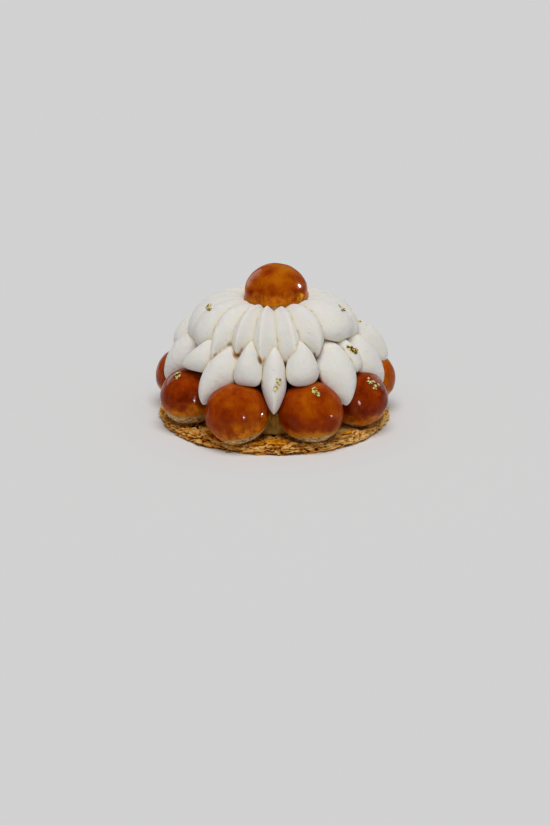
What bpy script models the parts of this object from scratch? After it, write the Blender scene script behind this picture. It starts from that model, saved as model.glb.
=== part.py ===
"""A saint-honore cake: a flaky round base, nine caramel-dipped choux standing in a ring on it,
cream piped in two tiers of fin-shaped petals over a cream heart, and one more chou on the crown.

Metres, +Z up. The origin is the middle of the base's flat underside, and -Y is the front.
Places on the cake are given as a radius from the axis, a bearing in degrees and a height.
A bearing of 0 is the front (-Y), and it grows towards the right-hand side (+X).
"""

import math

import bmesh
import bpy
from mathutils import Vector

# Driving dimensions, in metres.
GAP = 0.0003

BASE_RADIUS = 0.0862
BASE_CENTRE = (0.001, 0.0015)
BASE_THICKNESS = 0.0065
BASE_WAVE = 0.0011
BASE_STEPS = 30

CHOU_SQUASH = 0.95
CHOU_SIDES = 12
CHOU_RINGS = 7
CHOU_HEIGHT = 0.0250
# The ring of choux: bearing, radius from the axis and size of each one.
RING = (
    (-20.8, 0.0704, 0.0226),
    (23.5, 0.0677, 0.0230),
    (62.5, 0.0693, 0.0217),
    (100.0, 0.0706, 0.0220),
    (138.5, 0.0690, 0.0221),
    (177.0, 0.0688, 0.0218),
    (-144.5, 0.0692, 0.0220),
    (-105.0, 0.0685, 0.0219),
    (-62.7, 0.0674, 0.0216),
)

CROWN_RADIUS = 0.0226
CROWN_SQUASH = 0.925
CROWN_HEIGHT = 0.0950
CROWN_OFFSET = 0.0018
CROWN_SIDES = 12
CROWN_RINGS = 8

HEART_RADIUS = 0.0570
HEART_SHOULDER = 0.0400
HEART_TOP = 0.0780
HEART_STEPS = 24
# How far the heart pushes out between two choux, for each metre of room between them.
HEART_TONGUE = 2.2
HEART_TONGUE_HEIGHT = 0.0340
HEART_TONGUE_WIDTH = 10.0

PETAL_SIDES = 8
PETAL_RINGS = 7
PETAL_RIDGE = 0.30

# Spines of the three kinds of petal: (radius, height) of the inner tip, the bend and the outer tip.
HIGH_SPINE = ((0.0160, 0.0825), (0.0470, 0.0850), (0.0575, 0.0600))
LONG_SPINE = ((0.0400, 0.0680), (0.0630, 0.0580), (0.0755, 0.0285))
SHORT_SPINE = ((0.0400, 0.0690), (0.0600, 0.0650), (0.0695, 0.0460))
HIGH_HALF_HEIGHT = 0.0130
LONG_HALF_HEIGHT = 0.0130
SHORT_HALF_HEIGHT = 0.0120

# Petals of each tier, front to right to back to left: bearing, half width and reach.
# The reach scales how far the outer tip lies from the axis.
HIGH_PETALS = (
    (10.5, 0.0095, 1.00),
    (34.0, 0.0112, 1.00),
    (59.5, 0.0114, 1.03),
    (82.0, 0.0108, 1.02),
    (102.0, 0.0100, 1.00),
    (120.5, 0.0096, 0.99),
    (139.0, 0.0096, 1.01),
    (158.0, 0.0098, 1.00),
    (178.0, 0.0096, 0.98),
    (198.0, 0.0098, 1.01),
    (218.0, 0.0096, 1.00),
    (238.0, 0.0098, 0.99),
    (258.0, 0.0098, 1.00),
    (278.0, 0.0100, 1.00),
    (299.0, 0.0100, 0.99),
    (317.5, 0.0096, 1.06),
    (334.5, 0.0092, 0.99),
    (352.0, 0.0092, 1.00),
)
LOW_PETALS = (
    (0.8, 0.0088, 1.00),
    (20.0, 0.0104, 1.00),
    (43.0, 0.0112, 1.02),
    (60.0, 0.0096, 0.98),
    (78.5, 0.0110, 1.05),
    (99.5, 0.0100, 1.20),
    (119.5, 0.0100, 1.02),
    (138.5, 0.0098, 1.02),
    (158.0, 0.0100, 1.01),
    (177.5, 0.0096, 1.01),
    (197.0, 0.0100, 1.02),
    (216.0, 0.0098, 1.00),
    (235.5, 0.0100, 1.02),
    (256.5, 0.0098, 1.03),
    (277.0, 0.0100, 1.01),
    (300.5, 0.0098, 1.00),
    (319.0, 0.0104, 1.00),
    (342.0, 0.0092, 1.00),
)


def make_material(name, colour, roughness):
    material = bpy.data.materials.new(name)
    material.use_nodes = True
    shader = material.node_tree.nodes["Principled BSDF"]
    shader.inputs["Base Color"].default_value = (*colour, 1.0)
    shader.inputs["Roughness"].default_value = roughness
    shader.inputs["Metallic"].default_value = 0.0
    return material


def face_outwards(bm):
    """Splits a closed shape into triangles and turns them all outwards."""
    bmesh.ops.triangulate(bm, faces=bm.faces, quad_method="FIXED")
    bmesh.ops.recalc_face_normals(bm, faces=bm.faces)
    if bm.calc_volume(signed=True) < 0:
        bmesh.ops.reverse_faces(bm, faces=bm.faces)


def add_object(name, bm, collection, material=None):
    """The bmesh as an object in this collection. Without a material it is a cutter."""
    face_outwards(bm)
    mesh = bpy.data.meshes.new(name)
    bm.to_mesh(mesh)
    bm.free()
    mesh.shade_smooth()
    obj = bpy.data.objects.new(name, mesh)
    collection.objects.link(obj)
    if material is None:
        obj.hide_render = True
        obj.display_type = "WIRE"
    else:
        mesh.set_sharp_from_angle(angle=math.radians(50))
        mesh.materials.append(material)
    return obj


def place(radius, bearing, height, sideways=0.0):
    """A point on the cake. Sideways runs to the right of someone who looks outwards."""
    angle = math.radians(bearing)
    x = radius * math.sin(angle) + sideways * math.cos(angle)
    y = -radius * math.cos(angle) + sideways * math.sin(angle)
    return Vector((x, y, height))


def swell(bm, distance):
    """Moves a closed surface outwards, so that what it cuts keeps clear of it."""
    bm.normal_update()
    for vert, normal in [(v, v.normal.copy()) for v in bm.verts]:
        vert.co += normal * distance


def cut_flat(bm, point, outward):
    """Cuts a closed shape along a plane, throws away the outward side and closes the cut."""
    geometry = bm.verts[:] + bm.edges[:] + bm.faces[:]
    cut = bmesh.ops.bisect_plane(
        bm, geom=geometry, plane_co=point, plane_no=outward, clear_outer=True
    )
    edges = [item for item in cut["geom_cut"] if isinstance(item, bmesh.types.BMEdge)]
    bmesh.ops.holes_fill(bm, edges=edges)


def keep_largest(bm):
    """Drops the crumbs that a cut leaves beside the main piece."""
    unseen = set(bm.verts)
    pieces = []
    while unseen:
        piece = set()
        waiting = [unseen.pop()]
        while waiting:
            vert = waiting.pop()
            piece.add(vert)
            for edge in vert.link_edges:
                other = edge.other_vert(vert)
                if other in unseen:
                    unseen.remove(other)
                    waiting.append(other)
        pieces.append(piece)
    pieces.sort(key=len)
    for piece in pieces[:-1]:
        bmesh.ops.delete(bm, geom=list(piece), context="VERTS")


def carve(obj, cutters):
    """Cuts these shapes out of the object and keeps its largest piece."""
    for cutter in cutters:
        modifier = obj.modifiers.new("cut_" + cutter.name, "BOOLEAN")
        modifier.operation = "DIFFERENCE"
        modifier.solver = "EXACT"
        modifier.object = cutter
    bpy.context.view_layer.update()
    graph = bpy.context.evaluated_depsgraph_get()
    mesh = bpy.data.meshes.new_from_object(obj.evaluated_get(graph))
    obj.modifiers.clear()
    bm = bmesh.new()
    bm.from_mesh(mesh)
    keep_largest(bm)
    bm.to_mesh(obj.data)
    bm.free()
    bpy.data.meshes.remove(mesh)


def base_bmesh():
    """The round of flaky dough: a turned outline with a slightly wavy rim and a flat underside."""
    outline = (
        (0.0, 0.0),
        (0.94, 0.0),
        (0.985, 0.14),
        (1.0, 0.50),
        (0.985, 0.84),
        (0.955, 1.0),
        (0.0, 1.0),
    )
    bm = bmesh.new()
    verts = [bm.verts.new((r * BASE_RADIUS, 0.0, z * BASE_THICKNESS)) for r, z in outline]
    edges = [bm.edges.new(pair) for pair in zip(verts, verts[1:])]
    bmesh.ops.spin(
        bm,
        geom=verts + edges,
        cent=(0, 0, 0),
        axis=(0, 0, 1),
        angle=math.tau,
        steps=BASE_STEPS,
        use_merge=True,
    )
    bmesh.ops.remove_doubles(bm, verts=bm.verts, dist=1e-6)
    for vert in bm.verts:
        radius = math.hypot(vert.co.x, vert.co.y)
        angle = math.atan2(vert.co.x, -vert.co.y)
        wave = math.sin(3 * angle + 0.6) + 0.6 * math.sin(7 * angle) + 0.5 * math.sin(13 * angle + 2)
        near_rim = max(0.0, radius / BASE_RADIUS - 0.8) * 5
        stretch = 1 + BASE_WAVE * wave * near_rim / BASE_RADIUS
        vert.co.x = vert.co.x * stretch + BASE_CENTRE[0]
        vert.co.y = vert.co.y * stretch + BASE_CENTRE[1]
    return bm


def chou_bmesh(bearing, radius, size, grow=0.0):
    """A round puff, slightly squashed, whose foot is flat where it stands on the base."""
    bm = bmesh.new()
    bmesh.ops.create_uvsphere(bm, u_segments=CHOU_SIDES, v_segments=CHOU_RINGS, radius=size + grow)
    bmesh.ops.scale(bm, vec=(1, 1, CHOU_SQUASH), verts=bm.verts)
    bmesh.ops.translate(bm, vec=place(radius, bearing, CHOU_HEIGHT), verts=bm.verts)
    if grow == 0.0:
        cut_flat(bm, (0, 0, BASE_THICKNESS + GAP), (0, 0, -1))
    return bm


def crown_bmesh(grow=0.0):
    """The chou on the crown of the cake."""
    bm = bmesh.new()
    bmesh.ops.create_uvsphere(
        bm, u_segments=CROWN_SIDES, v_segments=CROWN_RINGS, radius=CROWN_RADIUS + grow
    )
    bmesh.ops.scale(bm, vec=(1, 1, CROWN_SQUASH), verts=bm.verts)
    bmesh.ops.translate(bm, vec=(CROWN_OFFSET, 0, CROWN_HEIGHT), verts=bm.verts)
    return bm


def gaps_between_choux():
    """The bearing of the middle of each gap in the ring, and the room between its two choux."""
    gaps = []
    for first, second in zip(RING, RING[1:] + RING[:1]):
        turn = (second[0] - first[0]) % 360
        middle = first[0] + turn / 2
        apart = (place(second[1], second[0], 0) - place(first[1], first[0], 0)).length
        gaps.append((middle, apart - first[2] - second[2]))
    return gaps


def heart_bmesh(grow=0.0):
    """The cream inside: a domed turned shape that pushes tongues out between the choux."""
    foot = BASE_THICKNESS + GAP
    outline = (
        (0.0, foot),
        (HEART_RADIUS, foot),
        (HEART_RADIUS, 0.72 * HEART_SHOULDER),
        (0.97 * HEART_RADIUS, HEART_SHOULDER),
        (0.81 * HEART_RADIUS, 0.0560),
        (0.50 * HEART_RADIUS, 0.0715),
        (0.0, HEART_TOP),
    )
    bm = bmesh.new()
    verts = [bm.verts.new((r, 0.0, z)) for r, z in outline]
    edges = [bm.edges.new(pair) for pair in zip(verts, verts[1:])]
    bmesh.ops.spin(
        bm,
        geom=verts + edges,
        cent=(0, 0, 0),
        axis=(0, 0, 1),
        angle=math.tau,
        steps=HEART_STEPS,
        use_merge=True,
    )
    bmesh.ops.remove_doubles(bm, verts=bm.verts, dist=1e-6)
    face_outwards(bm)
    for vert in bm.verts:
        radius = math.hypot(vert.co.x, vert.co.y)
        if radius < 0.9 * HEART_RADIUS or vert.co.z > HEART_TONGUE_HEIGHT:
            continue
        bearing = math.degrees(math.atan2(vert.co.x, -vert.co.y))
        push = 0.0
        for middle, room in gaps_between_choux():
            off = (bearing - middle + 180) % 360 - 180
            if abs(off) < HEART_TONGUE_WIDTH:
                fade = 0.5 + 0.5 * math.cos(math.pi * off / HEART_TONGUE_WIDTH)
                push = max(push, HEART_TONGUE * room * fade)
        vert.co.x *= 1 + push / radius
        vert.co.y *= 1 + push / radius
    if grow:
        swell(bm, grow)
    return bm


def bend(spine, s):
    """The point of a three-point curve at s, from 0 to 1, and the curve's direction there."""
    start, middle, end = (Vector(point) for point in spine)
    point = (1 - s) ** 2 * start + 2 * s * (1 - s) * middle + s * s * end
    heading = 2 * (1 - s) * (middle - start) + 2 * s * (end - middle)
    return point, heading.normalized()


def hump(s, rise, fall):
    """A bump that is 0 at both ends and 1 at its top. Small powers give round ends."""
    top = rise / (rise + fall)
    return (s**rise * (1 - s) ** fall) / (top**rise * (1 - top) ** fall)


def petal_bmesh(kind, bearing, half_width, reach, sides=None, grow=0.0):
    """One piped fin: a sphere drawn out along its spine, tall, narrow and ridged along its crest."""
    spine, half_height, height_hump, width_hump = PETAL_KINDS[kind]
    tip_radius, tip_height = spine[2]
    spine = (spine[0], (spine[1][0] * (1 + reach) / 2, spine[1][1]), (tip_radius * reach, tip_height))
    bm = bmesh.new()
    bmesh.ops.create_uvsphere(bm, u_segments=PETAL_SIDES, v_segments=PETAL_RINGS, radius=1.0)
    for vert in bm.verts:
        s = min(max((1 + vert.co.z) / 2, 1e-6), 1 - 1e-6)
        around = math.atan2(vert.co.y, vert.co.x)
        point, heading = bend(spine, s)
        upward = Vector((-heading.y, heading.x))
        rise = half_height * hump(s, *height_hump) * math.sin(around)
        ridge = 1 - PETAL_RIDGE * max(0.0, math.sin(around)) ** 1.25
        sideways = half_width * hump(s, *width_hump) * math.cos(around) * ridge
        point = point + upward * rise
        vert.co = place(point.x, bearing, point.y, sideways)
    face_outwards(bm)
    if sides:
        for other, sign in zip(sides, (-1, 1)):
            middle = math.radians((bearing + other) / 2)
            outward = Vector((math.cos(middle), math.sin(middle), 0)) * sign
            cut_flat(bm, outward * (-GAP / 2), outward)
    if grow:
        swell(bm, grow)
    return bm


# For each kind of petal: its spine, half height, and how its height and width swell along it.
PETAL_KINDS = {
    "high": (HIGH_SPINE, HIGH_HALF_HEIGHT, (0.6, 0.5), (1.0, 0.8)),
    "long": (LONG_SPINE, LONG_HALF_HEIGHT, (0.6, 0.5), (0.9, 0.8)),
    "short": (SHORT_SPINE, SHORT_HALF_HEIGHT, (0.6, 0.5), (0.9, 0.6)),
}


def neighbours(rows, index):
    """The bearings of the petals before and after this one, unwound so that they can be averaged."""
    bearing = rows[index][0]
    before = rows[index - 1][0]
    after = rows[(index + 1) % len(rows)][0]
    before = bearing - (bearing - before) % 360
    after = bearing + (after - bearing) % 360
    return before, after


def apart(first, second):
    """The angle between two bearings."""
    return abs((first - second + 180) % 360 - 180)


for old in list(bpy.data.objects):
    bpy.data.objects.remove(old, do_unlink=True)

parts = bpy.data.collections.new("saint_honore_cake")
cutters = bpy.data.collections.new("cutters")
bpy.context.scene.collection.children.link(parts)
bpy.context.scene.collection.children.link(cutters)

pastry = make_material("flaky_pastry", (0.42, 0.20, 0.07), 0.65)
caramel = make_material("caramel_glaze", (0.36, 0.09, 0.01), 0.12)
cream = make_material("piped_cream", (0.86, 0.83, 0.76), 0.5)

add_object("pastry_base", base_bmesh(), parts, pastry)

chou_cutters = []
for number, (bearing, radius, size) in enumerate(RING, start=1):
    add_object(f"chou_{number}", chou_bmesh(bearing, radius, size), parts, caramel)
    grown = chou_bmesh(bearing, radius, size, grow=GAP)
    chou_cutters.append(add_object(f"chou_{number}_room", grown, cutters))
add_object("chou_crown", crown_bmesh(), parts, caramel)
crown_cutter = add_object("chou_crown_room", crown_bmesh(grow=GAP), cutters)

heart = add_object("cream_heart", heart_bmesh(), parts, cream)
heart_cutter = add_object("cream_heart_room", heart_bmesh(grow=GAP), cutters)
carve(heart, chou_cutters + [crown_cutter])

high_cutters = []
for index, (bearing, half_width, reach) in enumerate(HIGH_PETALS):
    sides = neighbours(HIGH_PETALS, index)
    bm = petal_bmesh("high", bearing, half_width, reach, sides)
    petal = add_object(f"petal_high_{index + 1}", bm, parts, cream)
    carve(petal, [heart_cutter, crown_cutter])
    grown = petal_bmesh("high", bearing, half_width, reach, grow=GAP)
    high_cutters.append(add_object(f"petal_high_{index + 1}_room", grown, cutters))

for index, (bearing, half_width, reach) in enumerate(LOW_PETALS):
    kind = "short" if index % 2 else "long"
    sides = neighbours(LOW_PETALS, index)
    bm = petal_bmesh(kind, bearing, half_width, reach, sides)
    petal = add_object(f"petal_low_{index + 1}", bm, parts, cream)
    near = [heart_cutter]
    near += [c for c, row in zip(chou_cutters, RING) if apart(row[0], bearing) < 40]
    near += [c for c, row in zip(high_cutters, HIGH_PETALS) if apart(row[0], bearing) < 30]
    carve(petal, near)
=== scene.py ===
# %% [markdown]
# # A saint-honore cake
# The real cake is a round of flaky pastry, choux dipped in caramel, cream piped in petals, and a
# little gold leaf. This lesson makes each in turn, around a measured frame that says where every
# chou and petal stands, so the frame is loaded first.

import math
import random

import bmesh
import bpy
from mathutils import Matrix, Vector, noise
from mathutils.bvhtree import BVHTree


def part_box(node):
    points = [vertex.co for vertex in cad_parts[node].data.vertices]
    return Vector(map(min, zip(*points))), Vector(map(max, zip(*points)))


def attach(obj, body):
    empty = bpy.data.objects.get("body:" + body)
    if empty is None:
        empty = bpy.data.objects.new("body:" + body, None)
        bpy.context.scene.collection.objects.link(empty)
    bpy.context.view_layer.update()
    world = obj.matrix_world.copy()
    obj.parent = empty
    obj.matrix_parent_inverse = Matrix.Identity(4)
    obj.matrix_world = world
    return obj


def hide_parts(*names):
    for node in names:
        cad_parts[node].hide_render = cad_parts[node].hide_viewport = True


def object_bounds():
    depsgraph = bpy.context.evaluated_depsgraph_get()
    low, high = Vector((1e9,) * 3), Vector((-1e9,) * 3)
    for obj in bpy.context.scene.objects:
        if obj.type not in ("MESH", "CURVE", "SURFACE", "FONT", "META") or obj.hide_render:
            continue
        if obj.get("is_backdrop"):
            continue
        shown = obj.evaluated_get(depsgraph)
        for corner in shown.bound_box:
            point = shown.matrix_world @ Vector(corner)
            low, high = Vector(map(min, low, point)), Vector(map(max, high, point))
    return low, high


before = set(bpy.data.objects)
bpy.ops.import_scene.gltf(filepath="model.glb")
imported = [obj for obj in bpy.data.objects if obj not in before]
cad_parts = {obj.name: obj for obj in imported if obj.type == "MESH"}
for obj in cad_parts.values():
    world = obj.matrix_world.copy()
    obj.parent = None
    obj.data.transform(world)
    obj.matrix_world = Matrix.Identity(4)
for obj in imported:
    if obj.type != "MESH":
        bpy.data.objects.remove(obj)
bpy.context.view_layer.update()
print("nodes in the frame:", len(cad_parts))

# %% [markdown]
# The camera stands where the photographer stood. The picture, 550 by 825 pixels, gave the lens
# and the tilt: 70 mm on a full-frame sensor, looking down 20.4 degrees. The middle of the cake's
# underside falls on one known pixel. Because the camera follows from these few numbers, a pixel
# of the picture can be turned back into a line through the cake.

# %% The photographer's camera
PICTURE = (550, 825)
FOCAL_PIXELS = 1604.0
METRES_PER_PIXEL = 0.00075
PITCH = math.radians(20.4)
ROLL = math.radians(0.5)
ORIGIN_PIXEL = (272.6, 414.5)
# In millimetres, along the picture's longer side.
SENSOR = 36.0


def add_object(name, data):
    """Puts a mesh, a lamp or a camera into the scene as an object at the origin."""
    made = bpy.data.objects.new(name, data)
    bpy.context.scene.collection.objects.link(made)
    return made


back = Vector((0, -math.cos(PITCH), math.sin(PITCH)))
level_right = Vector((1, 0, 0))
level_up = level_right.cross(-back)
camera_right = math.cos(ROLL) * level_right + math.sin(ROLL) * level_up
camera_up = math.cos(ROLL) * level_up - math.sin(ROLL) * level_right
camera_place = METRES_PER_PIXEL * (
    FOCAL_PIXELS * back
    + (PICTURE[0] / 2 - ORIGIN_PIXEL[0]) * camera_right
    + (ORIGIN_PIXEL[1] - PICTURE[1] / 2) * camera_up
)

lens = bpy.data.cameras.new("photographer")
lens.sensor_width = SENSOR
lens.lens = FOCAL_PIXELS * SENSOR / PICTURE[1]
camera = add_object("photographer", lens)
turn = Matrix((camera_right, camera_up, back)).transposed().to_4x4()
camera.matrix_world = Matrix.Translation(camera_place) @ turn
bpy.context.scene.camera = camera
print("camera stands at", [round(value, 3) for value in camera_place])


def line_of_sight(pixel):
    """The direction in which the camera sees a pixel of the picture."""
    across = (pixel[0] - PICTURE[0] / 2) / FOCAL_PIXELS
    down = (pixel[1] - PICTURE[1] / 2) / FOCAL_PIXELS
    return (camera_right * across - camera_up * down - back).normalized()

# %% [markdown]
# A cake is round, so places on it are given as a pastry cook would: so far from the middle, in
# this direction, at this height. A bearing of 0 is the front, towards the camera, and it grows to
# the right. Two more helpers give the smooth steps and hills that soft shapes are made of.

# %% Places on a round cake
def place(radius, bearing, height, sideways=0.0):
    """A point on the cake. Sideways runs to the right of someone who looks outwards."""
    angle = math.radians(bearing)
    x = radius * math.sin(angle) + sideways * math.cos(angle)
    y = -radius * math.cos(angle) + sideways * math.sin(angle)
    return Vector((x, y, height))


def blend(low, high, value):
    """0 below low, 1 above high, and a smooth step between them."""
    step = min(max((value - low) / (high - low), 0.0), 1.0)
    return step * step * (3 - 2 * step)


def hill(value, middle, width):
    """1 at the middle, and falling smoothly to 0 within about two widths."""
    return math.exp(-(((value - middle) / width) ** 2))


print("100 mm out at a bearing of 90:", [round(1000 * value) for value in place(0.1, 90.0, 0.0)])

# %% [markdown]
# Every piece is finished in the same way: its faces are turned outwards, it becomes an object
# with its place in its mesh, and it gets its material and the body it moves with, and the parts
# of the frame it stands for are hidden. `recalc_face_normals` can turn a whole shape inside out,
# so its volume is checked.

# %% Finish a piece
def face_outwards(bm):
    """Turns the faces of a closed shape outwards."""
    bmesh.ops.recalc_face_normals(bm, faces=bm.faces)
    if bm.calc_volume(signed=True) < 0:
        bmesh.ops.reverse_faces(bm, faces=bm.faces)


def finish_piece(bm, name, material, replaces=()):
    """Makes a bmesh a finished piece of the cake."""
    face_outwards(bm)
    mesh = bpy.data.meshes.new(name)
    bm.to_mesh(mesh)
    bm.free()
    mesh.shade_smooth()
    mesh.materials.append(material)
    piece = add_object(name, mesh)
    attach(piece, "root")
    if replaces:
        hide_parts(*replaces)
    return piece


def add_copy(bm, small):
    """Adds a small shape to a large one, which stays quick however large that one grows."""
    mesh = bpy.data.meshes.new("copy")
    small.to_mesh(mesh)
    small.free()
    bm.from_mesh(mesh)
    bpy.data.meshes.remove(mesh)


def mark_points(piece, name, values):
    """Stores a number at each point of a piece, for its material to read."""
    layer = piece.data.attributes.new(name, "FLOAT", "POINT")
    layer.data.foreach_set("value", values)


print("helpers: face_outwards, finish_piece, add_copy, mark_points")

# %% [markdown]
# Materials are small networks of nodes. These helpers make a material, fill the inputs of a node,
# and add a node. What is the same all over a surface is set on the shader itself, and what varies
# comes in through a link.

# %% Helpers for nodes
def new_material(name, **settings):
    """A new material, its nodes and its shader."""
    material = bpy.data.materials.new(name)
    material.use_nodes = True
    shader = material.node_tree.nodes["Principled BSDF"]
    for socket, value in settings.items():
        shader.inputs[socket.replace("_", " ")].default_value = value
    return material, material.node_tree, shader


def fill(tree, made, inputs):
    """An input gets a link if its value is another node's socket, and otherwise the value."""
    for socket, value in inputs.items():
        if isinstance(value, bpy.types.NodeSocket):
            tree.links.new(value, made.inputs[socket])
        else:
            made.inputs[socket].default_value = value


def node(tree, kind, inputs, **settings):
    made = tree.nodes.new(kind)
    for name, value in settings.items():
        setattr(made, name, value)
    fill(tree, made, inputs)
    return made


print("helpers: new_material, fill, node")

# %% [markdown]
# Each of these helpers stands for one node, so that a material reads like a recipe: a noise in
# the object's own coordinates, a ramp of colours, a mix, some arithmetic, a number that the mesh
# carries, and a bump.

# %% Helpers for patterns and colours
# A Mix node has sockets for numbers, vectors and colours under the same names, so the share, the
# two colours and the result are told apart by number.
MIX_SHARE, MIX_FIRST, MIX_SECOND, MIX_RESULT = 0, 6, 7, 2


def noise_in(tree, size, detail=3.0, roughness=0.5, stretch=(1, 1, 1), distortion=0.0):
    """A noise pattern whose features are about this size, in metres."""
    where = node(tree, "ShaderNodeTexCoord", {}).outputs["Object"]
    mapped = node(tree, "ShaderNodeMapping", {"Vector": where, "Scale": stretch}).outputs["Vector"]
    inputs = {
        "Vector": mapped,
        "Scale": 1 / size,
        "Detail": detail,
        "Roughness": roughness,
        "Distortion": distortion,
    }
    return node(tree, "ShaderNodeTexNoise", inputs).outputs["Fac"]


def ramp(tree, value, *stops):
    """Colours at places from 0 to 1, with smooth steps between them."""
    made = node(tree, "ShaderNodeValToRGB", {"Fac": value})
    elements = made.color_ramp.elements
    while len(elements) < len(stops):
        elements.new(0.5)
    for element, (position, colour) in zip(elements, stops):
        element.position = position
        element.color = (*colour, 1.0)
    return made.outputs["Color"]


def mix(tree, share, first, second):
    inputs = {MIX_SHARE: share, MIX_FIRST: first, MIX_SECOND: second}
    return node(tree, "ShaderNodeMix", inputs, data_type="RGBA").outputs[MIX_RESULT]


def maths(tree, operation, first, second):
    return node(tree, "ShaderNodeMath", {0: first, 1: second}, operation=operation).outputs[0]


def spread(tree, value, low, high):
    """Stretches low..high to 0..1."""
    inputs = {"Value": value, "From Min": low, "From Max": high}
    return node(tree, "ShaderNodeMapRange", inputs).outputs["Result"]


def attribute(tree, name):
    return node(tree, "ShaderNodeAttribute", {}, attribute_name=name).outputs["Fac"]


def bump(tree, height, depth, before=None):
    inputs = {"Height": height, "Distance": depth, "Strength": 1.0}
    if before:
        inputs["Normal"] = before
    return node(tree, "ShaderNodeBump", inputs).outputs["Normal"]


print("helpers: noise_in, ramp, mix, maths, spread, attribute, bump")

# %% [markdown]
# Whipped cream is almost white, a little warm, and lets light some way in, so its shadows are
# soft. Subsurface scattering does that. Where petals press together the colour is painted warmer
# and darker, as painted shade, and in places a narrow brown line of painted shadow runs along the
# seam. The surface is matt: a fine grain and slow waves keep it from looking like plastic. The
# attribute `crease` says how deep in a seam a point lies, and the painted shade follows it.

# %% Cream
# Painted shadow: a narrow brown line in the deepest parts of some seams between petals.
SEAM_SHADOW_COLOUR = (0.60, 0.44, 0.21, 1)
cream, tree, shader = new_material(
    "piped_cream",
    Roughness=0.85,
    Subsurface_Weight=1.0,
    Subsurface_Radius=(1.0, 0.8, 0.55),
    Subsurface_Scale=0.0012,
    Specular_IOR_Level=0.03,
)
warmth = noise_in(tree, 0.012, detail=2)
open_cream = ramp(tree, warmth, (0.3, (0.83, 0.80, 0.745)), (0.7, (0.85, 0.83, 0.785)))
# Painted shade: deep in a seam the cream is coloured warmer, yellower and darker.
crease_shade_cream = ramp(tree, warmth, (0.3, (0.815, 0.735, 0.57)), (0.7, (0.835, 0.77, 0.63)))
crease = attribute(tree, "crease")
cream_colour = mix(tree, spread(tree, crease, 0.0, 0.9), open_cream, crease_shade_cream)
in_places = spread(tree, noise_in(tree, 0.007, detail=2), 0.38, 0.62)
seam_shadow = maths(tree, "MULTIPLY", crease, in_places)
cream_colour = mix(tree, spread(tree, seam_shadow, 0.45, 1.05), cream_colour, SEAM_SHADOW_COLOUR)
slow = bump(tree, noise_in(tree, 0.004, detail=2), 0.0005)
grain = bump(tree, noise_in(tree, 0.0015, detail=4, roughness=0.7), 0.0004, slow)
print("made", cream.name)

# %% [markdown]
# Caramel has got into the cream. In a few seams it left olive and orange brown stains, and the
# dark gaps near some petals' tips get the same colours as painted shadow; one attribute marks
# both. Low down between the choux the cream has soaked up caramel, where `soak` is 1: pale at the
# foot, and darker upwards, to nearly black in painted shade under the petals. Attributes keep each
# colour to its place, and noise gives it streaks.

# %% Caramel in the cream
# Between these heights the soaked cream gets paler downwards, and darker upwards, where the dark
# brown is painted shade under the petals.
SOAKED_PALE = (0.019, 0.009)
SOAKED_SHADE_HEIGHTS = (0.029, 0.040)
PALE_SHARE = 0.7
PALE_COLOUR = (0.80, 0.58, 0.19, 1)
UNDER_PETAL_SHADE_COLOUR = (0.05, 0.02, 0.004, 1)
streaks = noise_in(tree, 0.0030, detail=3, stretch=(1, 1, 0.35))
# Stain and painted shadow: caramel in a few seams and dark gaps near petals' tips get the same
# olive and orange brown.
stain_and_shadow_share = maths(tree, "MULTIPLY", attribute(tree, "stain_and_shadow"), spread(tree, crease, 0.0, 0.30))
stain_and_shadow_colour = ramp(tree, streaks, (0.42, (0.22, 0.14, 0.030)), (0.58, (0.52, 0.23, 0.040)))
cream_colour = mix(tree, stain_and_shadow_share, cream_colour, stain_and_shadow_colour)
soaked = ramp(tree, streaks, (0.38, (0.26, 0.100, 0.008)), (0.62, (0.96, 0.60, 0.10)))
where = node(tree, "ShaderNodeTexCoord", {}).outputs["Object"]
level = node(tree, "ShaderNodeSeparateXYZ", {"Vector": where}).outputs["Z"]
low_down = maths(tree, "MULTIPLY", spread(tree, level, *SOAKED_PALE), PALE_SHARE)
soaked = mix(tree, low_down, soaked, PALE_COLOUR)
soaked = mix(tree, spread(tree, level, *SOAKED_SHADE_HEIGHTS), soaked, UNDER_PETAL_SHADE_COLOUR)
cream_colour = mix(tree, attribute(tree, "soak"), cream_colour, soaked)
fill(tree, shader, {"Base Color": cream_colour, "Normal": grain})
print("nodes in the cream:", len(tree.nodes))

# %% [markdown]
# A dipped chou has three finishes on one ball: a foot of pale dry crust, a golden edge where the
# caramel is thin, and the thick glaze, darker and redder as it gets thicker, and as glossy as
# glass. The golden edge is also painted light: it is brighter and reaches higher than thin
# caramel alone, for the light thrown up onto the lower side of each chou. The mesh carries three
# attributes: `cap` is 0 at the caramel's edge and grows upwards, `thick` is how thick the caramel
# lies, and `gold` is how much of the golden edge shows. First come the three colours.

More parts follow.
